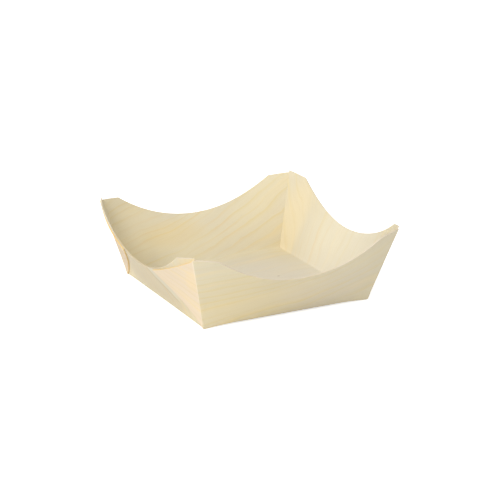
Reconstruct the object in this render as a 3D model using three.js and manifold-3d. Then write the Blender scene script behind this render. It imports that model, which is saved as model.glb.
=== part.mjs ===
// Fingerfood bowl: one sheet of thin wood veneer, die-cut, scored and folded into a small square dish.
// Four walls lean outwards and bow a little, and each rim dips in a long hollow between two flat tips.
// The sheet is slit at both ends of the side walls. The corner tabs stay on the front and back walls,
// wrap round the corners and are glued flat on the outside of the side walls.
// Millimetres, +Z up. The origin is under the middle of the base. The front wall faces -Y.

import * as THREE from 'three';
import { mergeVertices } from 'three/addons/utils/BufferGeometryUtils.js';
import Module from 'manifold-3d';

const wasm = await Module();
wasm.setup();

const degrees = Math.PI / 180;

// The sheet and the base.
const veneer = 0.5; // thickness of the sheet
const baseSide = 67.4; // crease to crease, inside
const baseFlat = 44; // width of the flat middle of the base
const baseRise = 0.6; // the flat middle stands this far above the left and right creases

// The walls, measured from the upright and up their slope.
const cornerLean = 14.8 * degrees; // at the corner folds
const middleLean = 33 * degrees; // in the middle, where a wall bows outwards
const scoopWidth = 68.6; // width of the hollow in each rim
const wrapPeak = 30.3; // front and back walls: height at the tips
const wrapLow = 19.8; // and in the middle of the hollow
const sidePeak = 31.1; // left and right walls: height at the tips
const sideLow = 19.9; // and in the middle of the hollow

// The corner tabs.
const tabReach = 29.4; // free edge of a tab, from the corner of the base
const tabHollow = 0.4; // depth of the shallow hollow in its rim
const tabTrim = 2.4 * degrees; // cut off the tab along its free edge, so that it lies clear of the crease

// How finely the bowed shapes are cut into flat facets.
const scoopSteps = 16;
const tipSteps = 2;
const slopeSteps = 3;
const foldSteps = 3;
const tabSteps = 8;

// Sizes that follow from those above.
const baseHalf = baseSide / 2;
const flare = Math.sin(cornerLean); // how much a wall widens at each end, for each millimetre of slope
const splay = Math.atan(flare); // angle in the sheet between a corner fold and the slope
const tabAngle = Math.PI / 2 - 2 * splay - tabTrim; // the rest of the sheet at a corner, trimmed
const upright = new THREE.Vector3(0, 0, 1);
const down = new THREE.Vector3(0, 0, -1);

// Top of the base above the table: level in the middle, curving down to the left and right creases.
function baseTop(x) {
  const past = Math.max(0, Math.abs(x) - baseFlat / 2) / (baseHalf - baseFlat / 2);
  return veneer + baseRise * (1 - past * past);
}

const wrapShape = { peak: wrapPeak, low: wrapLow, creaseTop: (u) => baseTop(u * baseHalf) };
const sideShape = { peak: sidePeak, low: sideLow, creaseTop: () => veneer };
const front = { ...wrapShape, turn: 0 };
const right = { ...sideShape, turn: Math.PI / 2 };
const back = { ...wrapShape, turn: Math.PI };
const left = { ...sideShape, turn: 1.5 * Math.PI };

// A point on the inner face of a wall: u runs from -1 to 1 along it, h is the height up its slope.
function innerFace(wall, u, h) {
  const lean = middleLean + (cornerLean - middleLean) * u * u;
  const along = u * (baseHalf + h * flare);
  const out = baseHalf + h * Math.sin(lean);
  const point = new THREE.Vector3(along, -out, wall.creaseTop(u) + h * Math.cos(lean));
  return point.applyAxisAngle(upright, wall.turn);
}

// The direction that a wall faces outwards there.
function outward(wall, u, h) {
  const step = 0.001;
  const along = innerFace(wall, u + step, h).sub(innerFace(wall, u - step, h));
  const slope = innerFace(wall, u, h + step).sub(innerFace(wall, u, h - step));
  return along.cross(slope).normalize();
}

function blend(from, to, share) {
  return from.clone().lerp(to, share).normalize();
}

function moved(point, direction, distance) {
  return point.clone().addScaledVector(direction, distance);
}

// The rim of a wall, as places along the wall and heights: a level tip, the round hollow, a level tip.
function rimOutline(wall) {
  const depth = wall.peak - wall.low;
  const radius = (scoopWidth ** 2 / 4 + depth ** 2) / (2 * depth);
  const reach = Math.asin(scoopWidth / 2 / radius);
  const tip = baseHalf + wall.peak * flare;
  const outline = [];
  for (let step = 0; step < tipSteps; step += 1) {
    const along = THREE.MathUtils.lerp(-tip, -scoopWidth / 2, step / tipSteps);
    outline.push({ along, height: wall.peak });
  }
  for (let step = 0; step <= scoopSteps; step += 1) {
    const angle = THREE.MathUtils.lerp(-reach, reach, step / scoopSteps);
    outline.push({ along: radius * Math.sin(angle), height: wall.low + radius * (1 - Math.cos(angle)) });
  }
  for (let step = 1; step <= tipSteps; step += 1) {
    const along = THREE.MathUtils.lerp(scoopWidth / 2, tip, step / tipSteps);
    outline.push({ along, height: wall.peak });
  }
  return outline;
}

// Straight lines up a wall, one under each point of its rim.
function wallLines(wall) {
  return rimOutline(wall).map(({ along, height }) => {
    const u = along / (baseHalf + height * flare);
    return {
      top: height,
      point: (h) => innerFace(wall, u, h),
      facing: (h) => outward(wall, u, h),
    };
  });
}

// Lines that turn round the corner fold from one wall to the next.
function cornerLines(wall, next) {
  const lines = [];
  for (let step = 1; step < foldSteps; step += 1) {
    lines.push({
      top: Math.min(wall.peak, next.peak),
      point: (h) => innerFace(wall, 1, h),
      facing: (h) => blend(outward(wall, 1, h), outward(next, -1, h), step / foldSteps),
    });
  }
  return lines;
}

// The sheet's section on one line: up the inner face, over the rim, down the outer face, round the crease.
function sheetSection(line) {
  const section = [];
  for (let step = 0; step <= slopeSteps; step += 1) {
    section.push(line.point((line.top * step) / slopeSteps));
  }
  for (let step = slopeSteps; step >= 0; step -= 1) {
    const h = (line.top * step) / slopeSteps;
    section.push(moved(line.point(h), line.facing(h), veneer));
  }
  for (let step = 1; step <= foldSteps; step += 1) {
    section.push(moved(line.point(0), blend(line.facing(0), down, step / foldSteps), veneer));
  }
  return section;
}

// Two triangles between four points that run anticlockwise as seen from outside.
function quad(a, b, c, d) {
  return [a, b, c, a, c, d];
}

function skin(fromSection, toSection, closed) {
  const triangles = [];
  const last = closed ? fromSection.length : fromSection.length - 1;
  for (let row = 0; row < last; row += 1) {
    const next = (row + 1) % fromSection.length;
    triangles.push(...quad(fromSection[row], fromSection[next], toSection[next], toSection[row]));
  }
  return triangles;
}

// One face of the base, from the crease points of the four walls: strips from front to back,
// and a fan at the left and right ends, where the side walls have their own points.
function baseFace(edges) {
  const [frontEdge, rightEdge, backEdge, leftEdge] = edges;
  const far = backEdge.toReversed();
  const last = frontEdge.length - 1;
  const triangles = [];
  for (let strip = 1; strip < last - 1; strip += 1) {
    triangles.push(...quad(frontEdge[strip], frontEdge[strip + 1], far[strip + 1], far[strip]));
  }
  const rightFan = [...rightEdge, far[last - 1]];
  const leftFan = [far[1], ...leftEdge];
  for (let step = 1; step < rightFan.length; step += 1) {
    triangles.push(frontEdge[last - 1], rightFan[step - 1], rightFan[step]);
    triangles.push(frontEdge[1], leftFan[step - 1], leftFan[step]);
  }
  return triangles;
}

function toSolid(points) {
  const soup = new THREE.BufferGeometry().setFromPoints(points);
  const geometry = mergeVertices(soup);
  const index = Array.from(geometry.index.array);
  const triVerts = [];
  for (let start = 0; start < index.length; start += 3) {
    const [a, b, c] = index.slice(start, start + 3);
    if (a !== b && b !== c && c !== a) triVerts.push(a, b, c);
  }
  const vertProperties = Float32Array.from(geometry.attributes.position.array);
  return new wasm.Manifold(new wasm.Mesh({ numProp: 3, vertProperties, triVerts: Uint32Array.from(triVerts) }));
}

// The base with its four walls.
function pan() {
  const walls = [front, right, back, left];
  const lines = walls.map(wallLines);
  const ring = [];
  walls.forEach((wall, place) => {
    const next = walls[(place + 1) % walls.length];
    ring.push(...lines[place], ...cornerLines(wall, next));
  });
  const sections = ring.map(sheetSection);
  const triangles = [];
  sections.forEach((section, place) => {
    triangles.push(...skin(section, sections[(place + 1) % sections.length], false));
  });
  const topEdges = lines.map((wall) => wall.map((line) => sheetSection(line)[0]));
  const underEdges = lines.map((wall) => wall.map((line) => sheetSection(line).at(-1)));
  triangles.push(...baseFace(topEdges), ...baseFace(underEdges).toReversed());
  return toSolid(triangles);
}

// The fold that carries a tab past the end of a side wall, at height h on the corner. The tab turns
// round the line where the inside of the wrapping wall meets the outside of the side wall.
function foldAt(wrap, side, end, h) {
  const corner = innerFace(wrap, end, h);
  const wrapFacing = outward(wrap, end, h);
  const sideFacing = outward(side, -end, h);
  const cosine = wrapFacing.dot(sideFacing);
  const towards = sideFacing.clone().addScaledVector(wrapFacing, -cosine);
  const centre = moved(corner, towards, veneer / (1 - cosine * cosine));
  return { corner, centre, wrapFacing, sideFacing };
}

// A glued tab and the fold that carries it. Its inner half is sunk in the side wall, as one body with it.
// Places on the tab are measured in the plane of the side wall, from the corner of the base.
function tab(wrap, side, end) {
  const sunk = veneer / 2;
  const rows = Array.from({ length: slopeSteps + 1 }, (_, step) => step / slopeSteps);
  const sections = [];

  const closeSection = (inner, outer) => sections.push([...inner, ...outer.toReversed()]);
  const folds = rows.map((share) => foldAt(wrap, side, end, wrap.peak * share));
  closeSection(
    folds.map((fold) => moved(fold.corner, fold.wrapFacing, sunk)),
    folds.map((fold) => moved(fold.corner, fold.wrapFacing, veneer)),
  );
  for (let step = 0; step <= foldSteps; step += 1) {
    const facings = folds.map((fold) => blend(fold.wrapFacing, fold.sideFacing, step / foldSteps));
    closeSection(
      folds.map((fold, row) => moved(fold.corner, facings[row], sunk)),
      folds.map((fold, row) => moved(fold.centre, facings[row], veneer)),
    );
  }

  const tip = new THREE.Vector2(-wrap.peak * flare, wrap.peak);
  const freeAngle = tabAngle - splay;
  const free = new THREE.Vector2(Math.sin(freeAngle), Math.cos(freeAngle)).multiplyScalar(tabReach);
  const chord = free.clone().sub(tip).normalize();
  const inwards = new THREE.Vector2(chord.y, -chord.x);
  const start = sections.at(-1);
  for (let step = 1; step <= tabSteps; step += 1) {
    const share = step / tabSteps;
    const rim = tip.clone().lerp(free, share);
    rim.addScaledVector(inwards, 4 * tabHollow * share * (1 - share));
    const inner = [start[0]];
    const outer = [start.at(-1)];
    for (const up of rows.slice(1)) {
      const h = rim.y * up;
      const u = (-end * (baseHalf - rim.x * up)) / (baseHalf + h * flare);
      const point = innerFace(side, u, h);
      const facing = outward(side, u, h);
      inner.push(moved(point, facing, sunk));
      outer.push(moved(point, facing, 2 * veneer));
    }
    closeSection(inner, outer);
  }

  const triangles = [];
  for (let place = 1; place < sections.length; place += 1) {
    triangles.push(...skin(sections[place - 1], sections[place], true));
  }
  for (let row = 0; row < slopeSteps; row += 1) {
    const first = sections[0];
    const final = sections.at(-1);
    triangles.push(...quad(first.at(row), first.at(-1 - row), first.at(-2 - row), first.at(row + 1)));
    triangles.push(...quad(final.at(row), final.at(row + 1), final.at(-2 - row), final.at(-1 - row)));
  }
  return toSolid(end > 0 ? triangles : triangles.toReversed());
}

function toGeometry(solid) {
  const { numProp, vertProperties, triVerts } = solid.getMesh();
  const geometry = new THREE.BufferGeometry();
  geometry.setAttribute('position', new THREE.BufferAttribute(vertProperties, numProp));
  geometry.setIndex(new THREE.BufferAttribute(triVerts, 1));
  geometry.computeVertexNormals();
  return geometry;
}

const tabs = [tab(front, right, 1), tab(front, left, -1), tab(back, left, 1), tab(back, right, -1)];
const sheet = tabs.reduce((body, corner) => body.add(corner), pan());

const paleWood = new THREE.MeshStandardMaterial({ color: 0xe6d8ae, roughness: 0.62, metalness: 0 });
const bowl = new THREE.Mesh(toGeometry(sheet), paleWood);
bowl.name = 'veneer_bowl';

const group = new THREE.Group();
group.add(bowl);

export default group;
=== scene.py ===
# %% [markdown]
# A small fingerfood bowl, folded from one sheet of thin pale wood.
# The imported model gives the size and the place. It is faceted and plain, so this script models the sheet
# again with finer steps, a true second layer at the glued tabs, rounded folds and a wood finish.

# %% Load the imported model
import math

import bpy
import numpy as np
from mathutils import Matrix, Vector


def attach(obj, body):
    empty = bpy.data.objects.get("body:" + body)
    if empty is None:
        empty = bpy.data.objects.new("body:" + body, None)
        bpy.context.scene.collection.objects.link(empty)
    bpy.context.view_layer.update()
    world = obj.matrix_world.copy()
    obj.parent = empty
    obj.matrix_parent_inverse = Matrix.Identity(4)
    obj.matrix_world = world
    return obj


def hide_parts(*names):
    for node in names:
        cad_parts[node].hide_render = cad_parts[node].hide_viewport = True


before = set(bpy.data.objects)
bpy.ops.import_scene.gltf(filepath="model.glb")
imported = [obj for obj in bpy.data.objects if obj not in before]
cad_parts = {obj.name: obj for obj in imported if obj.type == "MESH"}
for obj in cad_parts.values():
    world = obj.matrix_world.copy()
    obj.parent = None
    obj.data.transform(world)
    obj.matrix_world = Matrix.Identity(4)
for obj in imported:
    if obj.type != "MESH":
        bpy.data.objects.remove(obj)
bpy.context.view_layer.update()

# %% [markdown]
# The camera comes first, because every look at the bowl is taken through it.
# The photograph was taken from the left of the front, a little above the rim, with a long lens: the
# far edges are hardly smaller than the near ones. A long focal length well away gives the same view.

# %% Camera at the photograph's angle
MM = 0.001

view_azimuth = math.radians(-27.6)
view_rise = math.radians(18.5)
view_distance = 690 * MM
aim_aside = 1.6 * MM
aim_above = 14.1 * MM
focal_length = 129

backwards = Vector((
    math.sin(view_azimuth) * math.cos(view_rise),
    -math.cos(view_azimuth) * math.cos(view_rise),
    math.sin(view_rise),
))
rightwards = Vector((math.cos(view_azimuth), math.sin(view_azimuth), 0))
upwards = backwards.cross(rightwards)

camera_data = bpy.data.cameras.new("camera")
camera_data.lens = focal_length
camera_data.clip_start = 0.01
camera = bpy.data.objects.new("camera", camera_data)
bpy.context.scene.collection.objects.link(camera)
camera.location = rightwards * aim_aside + upwards * aim_above + backwards * view_distance
camera.rotation_mode = "QUATERNION"
camera.rotation_quaternion = (-backwards).to_track_quat("-Z", "Y")
bpy.context.scene.camera = camera
print("camera at", [round(c, 3) for c in camera.location])

# %% [markdown]
# The sheet is described by a few sizes, in millimetres, nearly the same as in the model. Where the
# photograph asks for it they differ a little: the walls lean less in the middle, the hollows are
# narrower, and the tips fall off slightly towards them.
# A wall is a fan of straight lines up its slope. The lines lean least at the corner folds and most in
# the middle, which makes the wall bow outwards, as thin veneer does when its ends are held.

# %% Sizes of the sheet
veneer = 0.5  # thickness of the sheet
base_side = 67.4  # crease to crease, inside
base_flat = 44  # width of the flat middle of the base
base_rise = 0.6  # the flat middle stands this far above the left and right creases
corner_lean = math.radians(14.8)
middle_lean = math.radians(32.6)
scoop_width = 66.8  # of the hollow in each rim
tip_drop = 0.5  # from the end of a rim down to the start of its hollow
tip_share = 0.19  # the share of half a wall that this takes
low_tip = 0.5  # the right front tip is cut this much lower
long_scoop = 1.9  # the right wall's hollow runs on this far towards the front
wrap_peak, wrap_low = 30.3, 19.8
side_peak, side_low = 31.1, 19.9
tab_reach = 29.4  # free edge of a tab, from the corner of the base
tab_hollow = 0.4  # depth of the shallow hollow in its rim
tab_trim = math.radians(2.4)  # cut off along its free edge
glue_line = 0.02  # room for the glue under a tab
tab_thickness = veneer - glue_line

base_half = base_side / 2
flare = math.sin(corner_lean)
splay = math.atan(flare)
tab_angle = math.pi / 2 - 2 * splay - tab_trim
print("tab angle in degrees:", round(math.degrees(tab_angle), 1))

# %% [markdown]
# Every point of the sheet comes from a formula that takes the wall, the place along it and the height
# up its slope. This keeps the walls ruled, as a bent sheet has to be, and it gives the direction of
# each face, which later sets the thickness where faces meet.
# The die cuts a round hollow into each rim and leaves a nearly level tip at both ends. On this bowl the
# right front tip is a little lower, and the hollow beside it runs on a little further.

# %% Walls as formulas
quarter_turns = {"front": 0, "right": 1, "back": 2, "left": 3}
peak_of = {"front": wrap_peak, "back": wrap_peak, "right": side_peak, "left": side_peak}
low_of = {"front": wrap_low, "back": wrap_low, "right": side_low, "left": side_low}


def turned(x, y, z, turns):
    """A point of the front wall, turned to the wall that lies this many quarter turns on."""
    for _ in range(turns):
        x, y = -y, x
    return np.array([x, y, z], float)


def base_top(x):
    """The height of the base's inside at x: flat in the middle, falling to the side creases."""
    past = max(0, abs(x) - base_flat / 2) / (base_half - base_flat / 2)
    return veneer + base_rise * (1 - past * past)


def inner_face(wall, u, h):
    """A point inside a wall: u from -1 to 1 along it, h millimetres up its slope."""
    lean = middle_lean + (corner_lean - middle_lean) * u * u
    foot = base_top(u * base_half) if wall in ("front", "back") else veneer
    along = u * (base_half + h * flare)
    out = base_half + h * math.sin(lean)
    return turned(along, -out, foot + h * math.cos(lean), quarter_turns[wall])


def outward(wall, u, h, step=0.001):
    """The direction that the outside of a wall looks in."""
    along = inner_face(wall, u + step, h) - inner_face(wall, u - step, h)
    slope = inner_face(wall, u, h + step) - inner_face(wall, u, h - step)
    facing = np.cross(along, slope)
    return facing / np.linalg.norm(facing)


def base_outward(x, step=0.001):
    """The direction that the underside of the base looks in."""
    facing = np.array([(base_top(x + step) - base_top(x - step)) / (2 * step), 0, -1])
    return facing / np.linalg.norm(facing)


def thickness_at(*facings, depth=veneer):
    """How far the outer skin lies from the inner one where faces of these directions meet."""
    return np.linalg.lstsq(np.array(facings), np.full(len(facings), depth), rcond=None)[0]


def rim_outline(wall, tip_steps=4, scoop_steps=36):
    """Along and height of each point of a rim: a nearly level tip, the round hollow, another tip."""
    peak, low = peak_of[wall], low_of[wall]
    depth = peak - tip_drop - low
    radius = (scoop_width ** 2 / 4 + depth ** 2) / (2 * depth)
    reach = math.asin(scoop_width / 2 / radius)
    tip = base_half + peak * flare
    level = []
    for step in range(1, tip_steps + 1):
        share = step / tip_steps
        level.append((scoop_width / 2 + (tip - scoop_width / 2) * share, peak - tip_drop * (1 - share)))
    hollow = []
    for step in range(scoop_steps + 1):
        angle = reach * (2 * step / scoop_steps - 1)
        hollow.append((radius * math.sin(angle), low + radius * (1 - math.cos(angle))))
    return [(-along, height) for along, height in reversed(level)] + hollow + level


def tip_height(wall, u):
    """The level that a wrapping wall's tip is cut to. The photograph has the right front one lower."""
    peak = peak_of[wall] - (low_tip if wall == "front" and u > 0 else 0)
    return peak - tip_drop * min(1, (1 - abs(u)) / tip_share)


def long_rim(wall, u, height):
    """The rim's height at u where the hollow runs on a little further towards the corner."""
    half = scoop_width / 2 + long_scoop
    peak, low = peak_of[wall], low_of[wall]
    depth = peak - tip_drop - low
    radius = (half ** 2 + depth ** 2) / (2 * depth)
    tip = base_half + peak * flare
    for _ in range(4):
        along = abs(u) * (base_half + height * flare)
        if along < half:
            height = low + radius - math.sqrt(radius ** 2 - along ** 2)
        else:
            height = peak - tip_drop * max(0, 1 - (along - half) / (tip - half))
    return height


def rulings(wall):
    """The lines up a wall: each one's u, and the height where the rim cuts it."""
    return [(along / (base_half + height * flare), height) for along, height in rim_outline(wall)]


print("lines up each wall:", len(rulings("front")))

# %% [markdown]
# The flat blank has a base, four walls and four tabs. Each is a grid, added flat and then bent to its
# place point by point, because a ruled, bowed wall is a formula and not a chain of extrusions.
# The grid keeps its place in the flat blank as its UV map, so the wood grain later runs on through
# the folds as it does in the real sheet. A named attribute keeps the direction of the thickness.

# %% Grids that become the sheet
slope_rows = 12
blank_width = 140


def patch(name, columns, rows, place):
    """A grid of columns by rows. place gives the point, its place in the blank and the push outwards."""
    bpy.ops.object.select_all(action="DESELECT")
    bpy.ops.mesh.primitive_grid_add(x_subdivisions=columns - 1, y_subdivisions=rows - 1, size=1)
    piece = bpy.context.object
    piece.name = name
    mesh = piece.data
    if len(mesh.vertices) != columns * rows:
        raise ValueError(f"{name}: the grid has {len(mesh.vertices)} points")
    mesh.attributes.new("push", "FLOAT_VECTOR", "POINT")
    mesh.attributes.new("fold", "FLOAT", "POINT")
    mesh.attributes.new("skin", "FLOAT", "POINT")
    push, fold = mesh.attributes["push"], mesh.attributes["fold"]
    flat = []
    for vertex in mesh.vertices:
        point, in_blank, thickness, folded = place(vertex.index % columns, vertex.index // columns)
        vertex.co = Vector(point) * MM
        push.data[vertex.index].vector = Vector(thickness) * MM
        fold.data[vertex.index].value = folded
        flat.append(in_blank)
    sheet_map = mesh.uv_layers.active or mesh.uv_layers.new(name="UVMap")
    for loop in mesh.loops:
        x, y = flat[loop.vertex_index]
        sheet_map.data[loop.index].uv = (0.5 + x / blank_width, 0.5 + y / blank_width)
    return piece


def foot_thickness(wall, u):
    """The push at the crease under a wall, the same as the base has there."""
    x, y, _ = inner_face(wall, u, 0)
    facings = [base_outward(x)]
    if abs(abs(y) - base_half) < 0.001:
        facings.append(outward("front" if y < 0 else "back", x / base_half * (1 if y < 0 else -1), 0))
    if abs(abs(x) - base_half) < 0.001:
        facings.append(outward("right" if x > 0 else "left", y / base_half * (1 if x > 0 else -1), 0))
    return thickness_at(*facings)


def in_blank(wall, along, height):
    """Where a point of a wall lies in the flat blank."""
    return tuple(turned(along, -base_half - height, 0, quarter_turns[wall])[:2])


print("points up each slope:", slope_rows + 1)

# %% [markdown]
# The base is the square between the creases. It rises a little in the middle, as the folded side walls
# pull on it, so the bowl stands on its left and right creases. Its columns and rows end where the
# lines up the walls start, so the patches later join point to point.

# %% The base
def base_patch():
    across = [u for u, _ in rulings("front")]
    along = [u for u, _ in rulings("right")]
    last_column, last_row = len(across) - 1, len(along) - 1

    def place(column, row):
        x, y = across[column] * base_half, along[row] * base_half
        facings = [base_outward(x)]
        if row == 0:
            facings.append(outward("front", across[column], 0))
        if row == last_row:
            facings.append(outward("back", -across[column], 0))
        if column == 0:
            facings.append(outward("left", -along[row], 0))
        if column == last_column:
            facings.append(outward("right", along[row], 0))
        return (x, y, base_top(x)), (x, y), thickness_at(*facings), len(facings) > 1

    return patch("base", len(across), len(along), place)


parts = [base_patch()]
print("base:", len(parts[0].data.vertices), "points")

# %% [markdown]
# The front and back walls are the ones that wrap: they run on past the corners by the thickness of the
# wall that they turn round. One more column at each end holds that fold.

# %% Front and back walls, as far as the corner folds
def fold_at(wrap, side, end, h):
    """The line round which a tab turns: inside the wrapping wall and just outside the side wall."""
    corner = inner_face(wrap, end, h)
    facing, next_facing = outward(wrap, end, h), outward(side, -end, h)
    cosine = facing @ next_facing
    towards = (next_facing - cosine * facing) / (1 - cosine * cosine)
    return corner + towards * (veneer + glue_line), thickness_at(facing, next_facing, depth=tab_thickness)


neighbours = {("front", 1): "right", ("front", -1): "left", ("back", 1): "left", ("back", -1): "right"}


def wrap_patch(wall):
    lines = rulings(wall)
    columns = len(lines) + 2

    def place(column, row):
        end = -1 if column == 0 else 1 if column == columns - 1 else 0
        u, top = (end, peak_of[wall]) if end else lines[column - 1]
        if wall == "front" and u > 0:
            top = min(top, tip_height(wall, u))
        h = top * row / slope_rows
        if end:
            point, thickness = fold_at(wall, neighbours[wall, end], end, h)
            past = np.linalg.norm(point - inner_face(wall, end, h))
            return point, in_blank(wall, u * (base_half + h * flare) + end * past, h), thickness, True
        flat = in_blank(wall, u * (base_half + h * flare), h)
        if row == 0:
            return inner_face(wall, u, 0), flat, foot_thickness(wall, u), True
        return inner_face(wall, u, h), flat, thickness_at(outward(wall, u, h)), False

    return patch(wall, columns, slope_rows + 1, place)


parts += [wrap_patch("front"), wrap_patch("back")]
print("front and back walls:", sum(len(part.data.vertices) for part in parts[1:]), "points")

# %% [markdown]
# The left and right walls are slit from the tabs and only stand between them. They stop a hair short of
# the corners, which keeps the slits open when the patches are merged.

# %% Left and right walls
def side_patch(wall):
    lines = rulings(wall)

    def place(column, row):
        u, top = lines[column]
        if wall == "right" and u < 0:
            top = long_rim(wall, u, top)
        h = top * row / slope_rows
        point = inner_face(wall, u, h)
        if row == 0:
            return point, in_blank(wall, u * base_half, 0), foot_thickness(wall, u), True
        if abs(u) > 0.999:
            inwards = inner_face(wall, u * 0.9, h) - point
            point = point + inwards / np.linalg.norm(inwards) * glue_line
        flat = in_blank(wall, u * (base_half + h * flare), h)
        return point, flat, thickness_at(outward(wall, u, h)), False

    return patch(wall, len(lines), slope_rows + 1, place)


parts += [side_patch("left"), side_patch("right")]
print("left and right walls:", sum(len(part.data.vertices) for part in parts[3:]), "points")

# %% [markdown]
# A tab is the triangle of veneer beside each end of a wrapping wall. It lies flat on the outside of the
# next wall and follows its bow, so its points are taken from that wall's formula, one thickness out.

# %% Corner tabs
def tab_patch(wall, end, tab_columns=12):
    side = neighbours[wall, end]
    peak = tip_height(wall, end)
    tip = np.array([-peak * flare, peak])
    free_angle = tab_angle - splay
    free = tab_reach * np.array([math.sin(free_angle), math.cos(free_angle)])
    chord = (free - tip) / np.linalg.norm(free - tip)
    inwards = np.array([chord[1], -chord[0]])

    def place(column, row):
        share, up = column / tab_columns, row / slope_rows
        if column == 0 or row == 0:
            h = peak * up if column == 0 else 0
            point, thickness = fold_at(wall, side, end, h)
            past = np.linalg.norm(point - inner_face(wall, end, h))
            flat = in_blank(wall, end * (base_half + h * flare + past), h)
            return point, flat, thickness, column == 0
        rim = tip + (free - tip) * share + inwards * 4 * tab_hollow * share * (1 - share)
        inward, h = rim * up
        u = -end * (base_half - inward) / (base_half + h * flare)
        facing = outward(side, u, h)
        point = inner_face(side, u, h) + facing * (veneer + glue_line)
        angle = math.atan2(inward, h) + 2 * splay
        reach = math.hypot(inward, h)
        flat = in_blank(wall, end * (base_half + reach * math.sin(angle)), reach * math.cos(angle))
        return point, flat, thickness_at(facing, depth=tab_thickness), False

    return patch(f"tab_{wall}_{side}", tab_columns + 1, slope_rows + 1, place)


tabs = [tab_patch(wall, end) for wall, end in neighbours]
print("tabs:", [tab.name for tab in tabs])

# %% [markdown]
# Joined and merged along the creases, the patches are one skin without thickness. The slits stay open,
# because the side walls stop a hair short of the corners. Extruding the whole skin gives the thickness
# of the veneer, and each new point is then set where the faces round it meet.

# %% Join the patches and give the sheet its thickness
face_index, tab_index, edge_index, tab_edge_index = range(4)
merge_distance = 0.002 * MM
material_names = ("veneer face", "veneer tab", "cut edge", "glued cut edge")
materials = [bpy.data.materials.new(name) for name in material_names]

for piece in parts + tabs:
    for material in materials:
        piece.data.materials.append(material)
for piece in tabs:
    piece.data.polygons.foreach_set("material_index", [tab_index] * len(piece.data.polygons))

bpy.ops.object.select_all(action="DESELECT")
for piece in parts + tabs:
    piece.select_set(True)
bpy.context.view_layer.objects.active = parts[0]
bpy.ops.object.join()
sheet = bpy.context.object
sheet.name = "folded_veneer"
sheet.data.name = "folded_veneer"

bpy.ops.object.mode_set(mode="EDIT")
bpy.ops.mesh.select_mode(type="VERT")
bpy.ops.mesh.select_all(action="SELECT")
bpy.ops.mesh.remove_doubles(threshold=merge_distance)
bpy.ops.mesh.dissolve_degenerate(threshold=merge_distance)
bpy.ops.mesh.normals_make_consistent(inside=False)
bpy.ops.object.mode_set(mode="OBJECT")

under = max(sheet.data.polygons, key=lambda face: -abs(face.center.x) - abs(face.center.y))
if under.normal.z > 0:
    sheet.data.flip_normals()
print("skin:", len(sheet.data.vertices), "points,", len(sheet.data.polygons), "faces")

bpy.ops.object.mode_set(mode="EDIT")
bpy.ops.mesh.select_all(action="SELECT")
bpy.ops.mesh.extrude_region()
bpy.ops.object.mode_set(mode="OBJECT")

mesh = sheet.data
outer = {vertex.index for vertex in mesh.vertices if vertex.select}
push, skin = mesh.attributes["push"].data, mesh.attributes["skin"].data
for index in outer:
    mesh.vertices[index].co += push[index].vector
    mesh.vertices[index].co.z = max(mesh.vertices[index].co.z, 0)
    skin[index].value = 1
cut_faces = [face for face in mesh.polygons if len({corner in outer for corner in face.vertices}) == 2]
for face in cut_faces:
    face.material_index = tab_edge_index if face.material_index == tab_index else edge_index
on_tabs = sum(face.material_index == tab_edge_index for face in cut_faces)
print("solid sheet:", len(mesh.polygons), "faces")
print("on cut edges:", len(cut_faces), "faces,", on_tabs, "of them on tabs")

# %% [markdown]
# No bowl of this kind comes out of the press quite square. Against the photograph, the base sits a
# little to the left under the rim, and the corner at the right front hangs a little.
# Each corner gets its own small offset at the base and at the tip, blended over the sheet between.

# %% Let the corners settle where the photograph has them
base_offsets = {
    (-1, -1): (-0.3, 0.3, 0),
    (1, -1): (-0.5, 0, 0),
    (1, 1): (-0.4, 0.4, 0.2),
    (-1, 1): (0, 0.25, 0),
}
tip_offsets = {
    (-1, -1): (0, 0, 0),
    (1, -1): (0.3, 0, -0.4),
    (1, 1): (0, 0, 0),
    (-1, 1): (0.1, 0, -0.1),
}


def corner_blend(offsets, x, y):
    """The offset at a spot, x and y from -1 to 1. Each corner's own counts most near it."""
    total = Vector((0, 0, 0))
    for (side_x, side_y), offset in offsets.items():
        share = (1 + side_x * max(-1, min(1, x))) * (1 + side_y * max(-1, min(1, y))) / 4
        total += Vector(offset) * share ** 2
    return total


for vertex in mesh.vertices:
    across, along, height = vertex.co / MM
    spot = across / base_half, along / base_half
    up = min(1, height / wrap_peak)
    vertex.co += (corner_blend(base_offsets, *spot) * (1 - up) + corner_blend(tip_offsets, *spot) * up) * MM
every_offset = [*base_offsets.values(), *tip_offsets.values()]
print("largest offset in mm:", round(max(Vector(offset).length for offset in every_offset), 2))

# %% [markdown]
# A fold in veneer is never knife sharp: the outside stretches round the score, while the inside stays
# crisp. The cut edges only lose their sharpness.

# %% Round the folds and ease the cut edges
outer_fold_radius = 0.22 * MM
inner_fold_radius = 0.06 * MM
cut_easing = 0.04 * MM
least_fold = math.radians(15)
crisp_from = math.radians(35)


def choose_edges(wanted):
    """Selects the edges for which wanted says so; it gets the edge and the faces beside it."""
    bpy.ops.object.mode_set(mode="EDIT")
    bpy.ops.mesh.select_mode(type="EDGE")
    bpy.ops.mesh.select_all(action="DESELECT")
    bpy.ops.object.mode_set(mode="OBJECT")
    beside = {}
    for face in sheet.data.polygons:
        for key in face.edge_keys:
            beside.setdefault(key, []).append(face)
    count = 0
    for edge in sheet.data.edges:
        edge.select = wanted(edge, beside.get(edge.key, []))
        count += edge.select
    bpy.ops.object.mode_set(mode="EDIT")
    return count


def is_fold(edge, faces, on_skin):
    """Whether an edge is a bend on the inner skin (0) or the outer one (1)."""
    folded, skins = sheet.data.attributes["fold"].data, sheet.data.attributes["skin"].data
    if len(faces) != 2 or any(face.material_index >= edge_index for face in faces):
        return False
    if any(folded[index].value < 0.5 or abs(skins[index].value - on_skin) > 0.5 for index in edge.vertices):
        return False
    return faces[0].normal.angle(faces[1].normal) > least_fold


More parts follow.
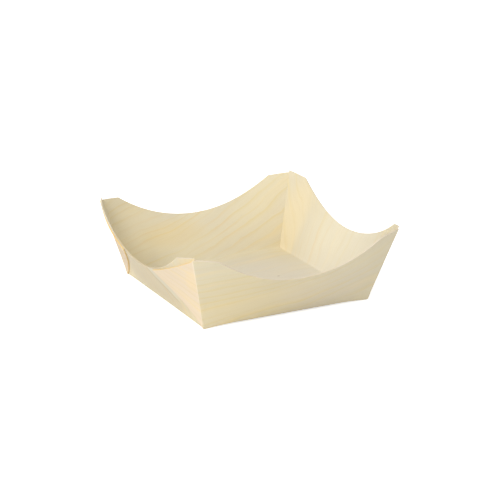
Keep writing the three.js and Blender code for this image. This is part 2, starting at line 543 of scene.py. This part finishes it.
def is_cut(edge, faces):
    """Whether an edge lies between a skin and a cut edge of the sheet."""
    return len(faces) == 2 and len({face.material_index >= edge_index for face in faces}) == 2


count = choose_edges(lambda edge, faces: is_fold(edge, faces, 1))
bpy.ops.mesh.bevel(offset=outer_fold_radius, segments=3, affect="EDGES", clamp_overlap=True)
print("outer fold edges rounded:", count)
count = choose_edges(lambda edge, faces: is_fold(edge, faces, 0))
bpy.ops.mesh.bevel(offset=inner_fold_radius, segments=2, affect="EDGES", clamp_overlap=True)
print("inner fold edges rounded:", count)
count = choose_edges(is_cut)
bpy.ops.mesh.bevel(offset=cut_easing, segments=1, affect="EDGES", clamp_overlap=True)
print("cut edges eased:", count)
bpy.ops.mesh.select_all(action="SELECT")
bpy.ops.mesh.normals_make_consistent(inside=False)
bpy.ops.object.mode_set(mode="OBJECT")
bpy.ops.object.select_all(action="DESELECT")
sheet.select_set(True)
bpy.context.view_layer.objects.active = sheet
bpy.ops.object.shade_smooth_by_angle(angle=crisp_from)
triangles = sum(len(face.vertices) - 2 for face in sheet.data.polygons)
print("finished sheet:", triangles, "triangles")

# %% [markdown]
# The veneer is pale poplar-like wood: cream, with fine fibres, faint broad bands and a few warmer,
# wavy streaks. All of it follows the grain, so the pattern is built in the flat blank's own
# millimetres. The grain lines spread like a fan towards the right of the sheet.

# %% Helpers for the wood


def linear(red, green, blue):
    """A colour as the eye sees it on a screen, 0 to 255, as Blender's linear numbers."""
    channels = [channel / 255 for channel in (red, green, blue)]
    return tuple(c / 12.92 if c <= 0.04045 else ((c + 0.055) / 1.055) ** 2.4 for c in channels) + (1.0,)


class Nodes:
    """A short way to add nodes to a material and join them."""

    def __init__(self, material):
        material.use_nodes = True
        self.tree = material.node_tree
        self.tree.nodes.clear()

    def add(self, kind, inputs=(), **settings):
        node = self.tree.nodes.new(kind)
        for name, value in settings.items():
            setattr(node, name, value)
        for place, value in dict(inputs).items():
            if isinstance(value, bpy.types.NodeSocket):
                self.tree.links.new(value, node.inputs[place])
            else:
                node.inputs[place].default_value = value
        return node

    def math(self, operation, first, second=0.0, third=0.0):
        inputs = {0: first, 1: second, 2: third}
        return self.add("ShaderNodeMath", inputs, operation=operation).outputs[0]

    def mix(self, share, first, second):
        return self.add("ShaderNodeMix", {0: share, 6: first, 7: second}, data_type="RGBA").outputs[2]

    def ramp(self, value, low, high):
        node = self.add("ShaderNodeMapRange", {0: value, 1: low, 2: high}, interpolation_type="SMOOTHSTEP")
        return node.outputs[0]

    def noise(self, vector, detail, roughness):
        inputs = {"Vector": vector, "Scale": 1.0, "Detail": detail, "Roughness": roughness}
        return self.add("ShaderNodeTexNoise", inputs).outputs[0]

    def vector(self, x, y, z):
        return self.add("ShaderNodeCombineXYZ", {0: x, 1: y, 2: z}).outputs[0]


print("mid grey as a linear number:", round(linear(128, 128, 128)[0], 3))

# %% [markdown]
# The grain runs from left to right through the whole blank and opens like a fan: the photograph shows
# it climbing both the front and the back wall to the right. The wood is built up in layers: broad soft
# patches, growth rings as thin darker lines that end sharply, fine fibres, and short pores.

# %% Coordinates that follow the grain
grain_fan = 0.0065  # how fast the fan closes to the right, per millimetre
grain_opening = 0.00004  # how that changes along the blank
grain_slope = 0.07  # how much the grain climbs in the middle of the blank
ring_spacing = 3.4
ring_drift = 2.2
broad_bend = 5.5
fine_bend = 1.3
# The scale along the grain, the scale across it and the seed of each noise.
broad_noise = (0.020, 0.030, 3.0)
fine_noise = (0.07, 0.13, 8.0)
drift_noise = (0.004, 0.09, 12.0)
strength_noise = (0.02, 0.16, 27.0)


def blank_millimetres(nodes):
    """The place in the flat blank, in millimetres from its middle."""
    flat = nodes.add("ShaderNodeUVMap", uv_map="UVMap").outputs[0]
    parts = nodes.add("ShaderNodeSeparateXYZ", {0: flat})
    x = nodes.math("MULTIPLY", nodes.math("SUBTRACT", parts.outputs[0], 0.5), blank_width)
    y = nodes.math("MULTIPLY", nodes.math("SUBTRACT", parts.outputs[1], 0.5), blank_width)
    return x, y


def streaks(nodes, x, y, kind, detail=3.0, roughness=0.5):
    """Noise with its own scale along and across the grain, from 0 to 1."""
    along_scale, across_scale, seed = kind
    scaled_x = nodes.math("MULTIPLY", x, along_scale)
    scaled_y = nodes.math("MULTIPLY", y, across_scale)
    return nodes.noise(nodes.vector(scaled_x, scaled_y, seed), detail, roughness)


def waves(nodes, x, y, amount, kind):
    """Soft noise that swings by up to this amount to both sides of zero."""
    swing = nodes.math("SUBTRACT", streaks(nodes, x, y, kind, detail=2.0), 0.5)
    return nodes.math("MULTIPLY", swing, 2 * amount)


def across_the_grain(nodes, x, y):
    """Millimetres across the grain, the same all along one growth line."""
    opening = nodes.math("MULTIPLY_ADD", x, -grain_opening, -grain_fan)
    fan = nodes.math("EXPONENT", nodes.math("MULTIPLY", x, opening))
    across = nodes.math("MULTIPLY", nodes.math("ADD", y, grain_slope / grain_fan), fan)
    across = nodes.math("ADD", across, waves(nodes, x, y, broad_bend, broad_noise))
    return nodes.math("ADD", across, waves(nodes, x, y, fine_bend, fine_noise))


def rings(nodes, x, across):
    """Growth rings: each one darkens slowly and ends sharply. Some stretches of them are faint."""
    drift = nodes.math("MULTIPLY", streaks(nodes, x, across, drift_noise, detail=1.0), ring_drift)
    turns = nodes.math("ADD", nodes.math("DIVIDE", across, ring_spacing), drift)
    part = nodes.math("FRACT", turns)
    rise = nodes.math("POWER", nodes.ramp(part, 0.30, 0.95), 3.0)
    fall = nodes.math("SUBTRACT", 1.0, nodes.ramp(part, 0.93, 1.0))
    strength = nodes.ramp(streaks(nodes, x, across, strength_noise, detail=2.0), 0.30, 0.62)
    return nodes.math("MULTIPLY", nodes.math("MULTIPLY", rise, fall), strength)


def soft_patch(nodes, x, y, centre, size):
    """1 in the middle of an oval patch of the blank, falling softly to 0."""
    off_x = nodes.math("DIVIDE", nodes.math("SUBTRACT", x, centre[0]), size[0])
    off_y = nodes.math("DIVIDE", nodes.math("SUBTRACT", y, centre[1]), size[1])
    square = nodes.math("ADD", nodes.math("MULTIPLY", off_x, off_x), nodes.math("MULTIPLY", off_y, off_y))
    return nodes.math("SUBTRACT", 1.0, nodes.ramp(square, 0.0, 1.0))


print("a growth ring every", ring_spacing, "mm")

# %% [markdown]
# The colour of a real sheet isn't even. The photograph shows warm and pale patches on the walls, a
# greyer base with calm rings, one dark fleck on it, and dried glue beside the tab at the left front.
# Some patches are painted light and shade: painted light on the shaded inside at the back left, a
# painted glow of reflected light above the left front tab, painted shade on the left wall's outside,
# on its rim and on the left back tab, and a painted highlight along the left front tab's fold.
# Each patch is an oval with a soft edge in the flat blank, so it lies on the sheet and moves with it.

# %% Layers of the veneer's colour
ring_colour = linear(222, 200, 120)
warm_ring_colour = linear(224, 184, 104)
fibre_colour = linear(196, 172, 122)
warm_colour = linear(243, 219, 156)
# painted highlight: the pale colour laid along the folds of the tabs and the cut edges
fold_highlight_colour = linear(246, 234, 212)
pore_colour = linear(176, 146, 92)
fleck_colour = linear(150, 112, 72)
fleck_place, fleck_size = (15.7, 2.2), (0.75, 0.40)
warm_share, fibre_share, pore_share, fold_highlight_share = 0.28, 0.09, 0.16, 0.5
fleck_share, smear_share, smear_rim_share = 0.6, 0.65, 0.4
bump_strength, bump_depth, ring_relief = 0.35, 0.00005, 0.4
tone_noise = (0.015, 0.05, 1.0)
warm_noise = (0.012, 0.22, 4.0)
fibre_noise = (0.10, 3.0, 9.0)
pore_noise = (0.9, 9.0, 15.0)
ring_tone_noise = (0.03, 0.03, 21.0)
smear_noise = (0.12, 0.12, 5.0)
# The centre and half size of each patch in the blank, then its colour if it has one, and its share.
calm_patches = [((6, 4), (42, 44), 0.85), ((50, -10), (30, 42), 0.60), ((46, 28), (18, 14), 0.60)]
tones_and_painted_light = [
    ((47, 31), (24, 9), (246, 226, 176), 0.34),
    ((46, -6), (26, 36), (236, 230, 212), 0.45),
    ((4, -2), (44, 36), (224, 216, 202), 0.60),
    # Painted light: the next two patches lighten the inside at the back left, which the left wall shades.
    ((-36, 50), (28, 24), (238, 224, 184), 0.40),
    ((-34, 40), (12, 20), (250, 238, 204), 0.30),
    ((-12, 46), (18, 7), (228, 200, 134), 0.28),
    ((-14, -44), (40, 18), (228, 209, 160), 0.30),
    ((12, -44), (24, 14), (222, 212, 194), 0.35),
    # Painted glow of light reflected between the left front tab and the left wall, just above the tab.
    ((-61, -40), (10, 9), (246, 214, 146), 0.28),
]
# Painted shade: the left wall's outside faces downwards and is darkened here.
painted_outside_shade = [((-50, -2), (22, 40), (206, 193, 168), 0.60)]
# Painted highlight along the left front tab's fold, and painted shade on the left back tab, which faces
# away from the light.
painted_tab_highlight_and_shade = [((-41, -54), (4, 8), (244, 218, 166), 0.32), ((-46, 48), (14, 22), (208, 184, 152), 0.55)]
# Painted shade: the left wall's rim is darkened to the shaded tone of that wall.
painted_rim_shade = [((-53, 0), (12, 48), (196, 180, 146), 0.80)]
smear_width = 5.8
smear_start = (12.5, 17.0)  # up the free edge, from nothing to full
glue_colour = linear(217, 209, 186)
glue_rim_colour = linear(190, 172, 128)
free_edge = Vector((-math.cos(tab_angle - splay), math.sin(tab_angle - splay)))


def along_direction(nodes, x, y, direction_x, direction_y):
    """How far a point of the blank lies along a direction."""
    part_x = nodes.math("MULTIPLY", x, direction_x)
    part_y = nodes.math("MULTIPLY", y, direction_y)
    return nodes.math("ADD", part_x, part_y)


def glue_smear(nodes, x, y):
    """A narrow smear of dried glue beside the free edge of the tab at the left front, and its rim."""
    from_x, from_y = nodes.math("ADD", x, base_half), nodes.math("ADD", y, base_half)
    reach = along_direction(nodes, from_x, from_y, free_edge.x, free_edge.y)
    past = along_direction(nodes, from_x, from_y, free_edge.y, -free_edge.x)
    past = nodes.math("ADD", past, waves(nodes, x, y, 1.2, smear_noise))
    width = smear_width
    inside = nodes.math("SUBTRACT", nodes.ramp(past, -1.6, -0.6), nodes.ramp(past, width - 1.4, width))
    rim = nodes.math("SUBTRACT", nodes.ramp(past, width - 1.0, width), nodes.ramp(past, width, width + 1.4))
    upper = nodes.ramp(reach, *smear_start)
    return nodes.math("MULTIPLY", inside, upper), nodes.math("MULTIPLY", rim, upper)


def wood(material, pale, grey, ring_share, tone_and_light_patches=(), face=False):
    """The whole wood material. Only the face of the sheet has calm patches, the fleck and the glue."""
    nodes = Nodes(material)
    x, y = blank_millimetres(nodes)
    across = across_the_grain(nodes, x, y)

    colour = nodes.mix(nodes.ramp(streaks(nodes, x, across, tone_noise), 0.36, 0.64), pale, grey)
    warm_bands = nodes.ramp(streaks(nodes, x, across, warm_noise), 0.54, 0.72)
    colour = nodes.mix(nodes.math("MULTIPLY", warm_bands, warm_share), colour, warm_colour)
    outside = nodes.add("ShaderNodeAttribute", attribute_name="skin").outputs["Fac"]
    for centre, size, tint, strength in tone_and_light_patches:
        patch_share = nodes.math("MULTIPLY", soft_patch(nodes, x, y, centre, size), strength)
        # The painted shade of the left wall lies on the outer skin only.
        if (centre, size, tint, strength) in painted_outside_shade:
            patch_share = nodes.math("MULTIPLY", patch_share, outside)
        colour = nodes.mix(patch_share, colour, linear(*tint))
    ring_lines = rings(nodes, x, across)
    if face:
        for centre, size, strength in calm_patches:
            calm = nodes.math("MULTIPLY_ADD", soft_patch(nodes, x, y, centre, size), -strength, 1.0)
            ring_lines = nodes.math("MULTIPLY", ring_lines, calm)
    ring_tone = nodes.ramp(waves(nodes, x, y, 0.5, ring_tone_noise), -0.05, 0.2)
    line_colour = nodes.mix(ring_tone, ring_colour, warm_ring_colour)
    colour = nodes.mix(nodes.math("MULTIPLY", ring_lines, ring_share), colour, line_colour)
    fibres = nodes.ramp(streaks(nodes, x, across, fibre_noise, roughness=0.65), 0.28, 0.72)
    colour = nodes.mix(nodes.math("MULTIPLY", fibres, fibre_share), colour, fibre_colour)
    pores = nodes.ramp(streaks(nodes, x, across, pore_noise, detail=1.0), 0.66, 0.74)
    colour = nodes.mix(nodes.math("MULTIPLY", pores, pore_share), colour, pore_colour)
    roughness = nodes.math("MULTIPLY_ADD", fibres, 0.10, 0.56)
    if face:
        inside = nodes.math("SUBTRACT", 1.0, outside)
        fleck = nodes.math("MULTIPLY", soft_patch(nodes, x, y, fleck_place, fleck_size), inside)
        colour = nodes.mix(nodes.math("MULTIPLY", fleck, fleck_share), colour, fleck_colour)
        smear, rim = glue_smear(nodes, x, y)
        smear, rim = nodes.math("MULTIPLY", smear, outside), nodes.math("MULTIPLY", rim, outside)
        colour = nodes.mix(nodes.math("MULTIPLY", smear, smear_share), colour, glue_colour)
        colour = nodes.mix(nodes.math("MULTIPLY", rim, smear_rim_share), colour, glue_rim_colour)
        roughness = nodes.math("MULTIPLY_ADD", smear, -0.12, roughness)
    else:
        # Painted highlight: the tabs and cut edges turn paler along the folds.
        fold = nodes.add("ShaderNodeAttribute", attribute_name="fold").outputs["Fac"]
        painted_fold_highlight = nodes.math("MULTIPLY", nodes.ramp(fold, 0.6, 1.0), fold_highlight_share)
        colour = nodes.mix(painted_fold_highlight, colour, fold_highlight_colour)

    surface = nodes.add("ShaderNodeBsdfPrincipled", {"Base Color": colour, "Roughness": roughness})
    surface.inputs["Specular IOR Level"].default_value = 0.3
    raised = nodes.math("MULTIPLY", ring_lines, ring_relief)
    relief = nodes.math("SUBTRACT", raised, nodes.math("ADD", fibres, pores))
    bump_look = {"Height": relief, "Strength": bump_strength, "Distance": bump_depth}
    bump = nodes.add("ShaderNodeBump", bump_look)
    nodes.tree.links.new(bump.outputs[0], surface.inputs["Normal"])
    nodes.add("ShaderNodeOutputMaterial", {0: surface.outputs[0]})


print("tinted patches:", len(tones_and_painted_light + painted_outside_shade + painted_tab_highlight_and_shade + painted_rim_shade))

# %% [markdown]
# Four materials share the same layers. In the photograph the tabs are a little pinker than the walls,
# and the narrow cut edges are pale with hardly a ring in them.

# %% Wood on the faces and on the cut edges
face_tones_and_painted_light = tones_and_painted_light + painted_outside_shade
wood(materials[face_index], linear(227, 216, 185), linear(221, 211, 185), 0.34, face_tones_and_painted_light, face=True)
wood(materials[tab_index], linear(236, 218, 191), linear(231, 213, 188), 0.24, painted_tab_highlight_and_shade)
wood(materials[edge_index], linear(226, 213, 193), linear(219, 206, 184), 0.1, painted_rim_shade)
wood(materials[tab_edge_index], linear(240, 211, 150), linear(234, 199, 132), 0.2)
print("materials:", [material.name for material in sheet.data.materials])

# %% [markdown]
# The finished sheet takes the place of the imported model's one solid and rides on its one body.

# %% Put the sheet in place of the plain model
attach(sheet, "root")
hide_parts("veneer_bowl")
print(sheet.name, "stands in for veneer_bowl")

# %% [markdown]
# The photograph has a white ground and soft light from all round, with more of it from the left: the
# inside of the right wall and the left front tab are the brightest places. A white sky, one large lamp
# high on the left, two weak ones low in front and a weak one high in front give the walls that light.

# %% Floor, sky and lamps
floor_size = 4
floor_white = (0.85, 0.85, 0.85, 1)
pure_white = (1, 1, 1, 1)
floor_glow = 0.62
sky_light = 0.54


def seen_directly(nodes):
    """1 for rays from the camera and from gloss, 0 for rays that only carry light."""
    path = nodes.add("ShaderNodeLightPath")
    return nodes.math("MAXIMUM", path.outputs["Is Camera Ray"], path.outputs["Is Glossy Ray"])


bpy.ops.object.select_all(action="DESELECT")
bpy.ops.mesh.primitive_plane_add(size=floor_size)
floor = bpy.context.object
floor.name = "floor"
floor_material = bpy.data.materials.new("white floor")
nodes = Nodes(floor_material)
white = nodes.add("ShaderNodeBsdfDiffuse", {"Color": floor_white})
glow = nodes.add("ShaderNodeEmission", {"Color": pure_white, "Strength": floor_glow})
both = nodes.add("ShaderNodeAddShader", {0: white.outputs[0], 1: glow.outputs[0]})
shares = {0: seen_directly(nodes), 1: white.outputs[0], 2: both.outputs[0]}
choice = nodes.add("ShaderNodeMixShader", shares)
nodes.add("ShaderNodeOutputMaterial", {0: choice.outputs[0]})
floor.data.materials.append(floor_material)

world = bpy.data.worlds.new("sky")
bpy.context.scene.world = world
nodes = Nodes(world)
strength = nodes.math("MULTIPLY_ADD", seen_directly(nodes), 1 - sky_light, sky_light)
sky = nodes.add("ShaderNodeBackground", {"Color": pure_white, "Strength": strength})
nodes.add("ShaderNodeOutputWorld", {0: sky.outputs[0]})


def lamp(name, place, size, power):
    """A round, soft lamp that faces the bowl."""
    data = bpy.data.lights.new(name, "AREA")
    data.shape = "DISK"
    data.size = size
    data.energy = power
    made = bpy.data.objects.new(name, data)
    bpy.context.scene.collection.objects.link(made)
    made.location = place
    made.rotation_mode = "QUATERNION"
    made.rotation_quaternion = (-Vector(place)).to_track_quat("-Z", "Y")


def around(azimuth, rise, distance=1.2):
    """The point in this direction from the bowl: 0 is in front of it, and a rise of 90 above it."""
    azimuth, rise = math.radians(azimuth), math.radians(rise)
    level = distance * math.cos(rise)
    return (level * math.sin(azimuth), -level * math.cos(azimuth), distance * math.sin(rise))


lamp("high left", around(-75, 45), size=0.6, power=6.8)
lamp("low left front", around(-45, 15), size=0.5, power=2.6)
lamp("low right front", around(20, 15), size=0.5, power=1.0)
lamp("high front", around(15, 50), size=0.6, power=0.8)
print("lamps:", [light.name for light in bpy.data.lights])

bpy.context.scene.view_settings.view_transform = "Standard"
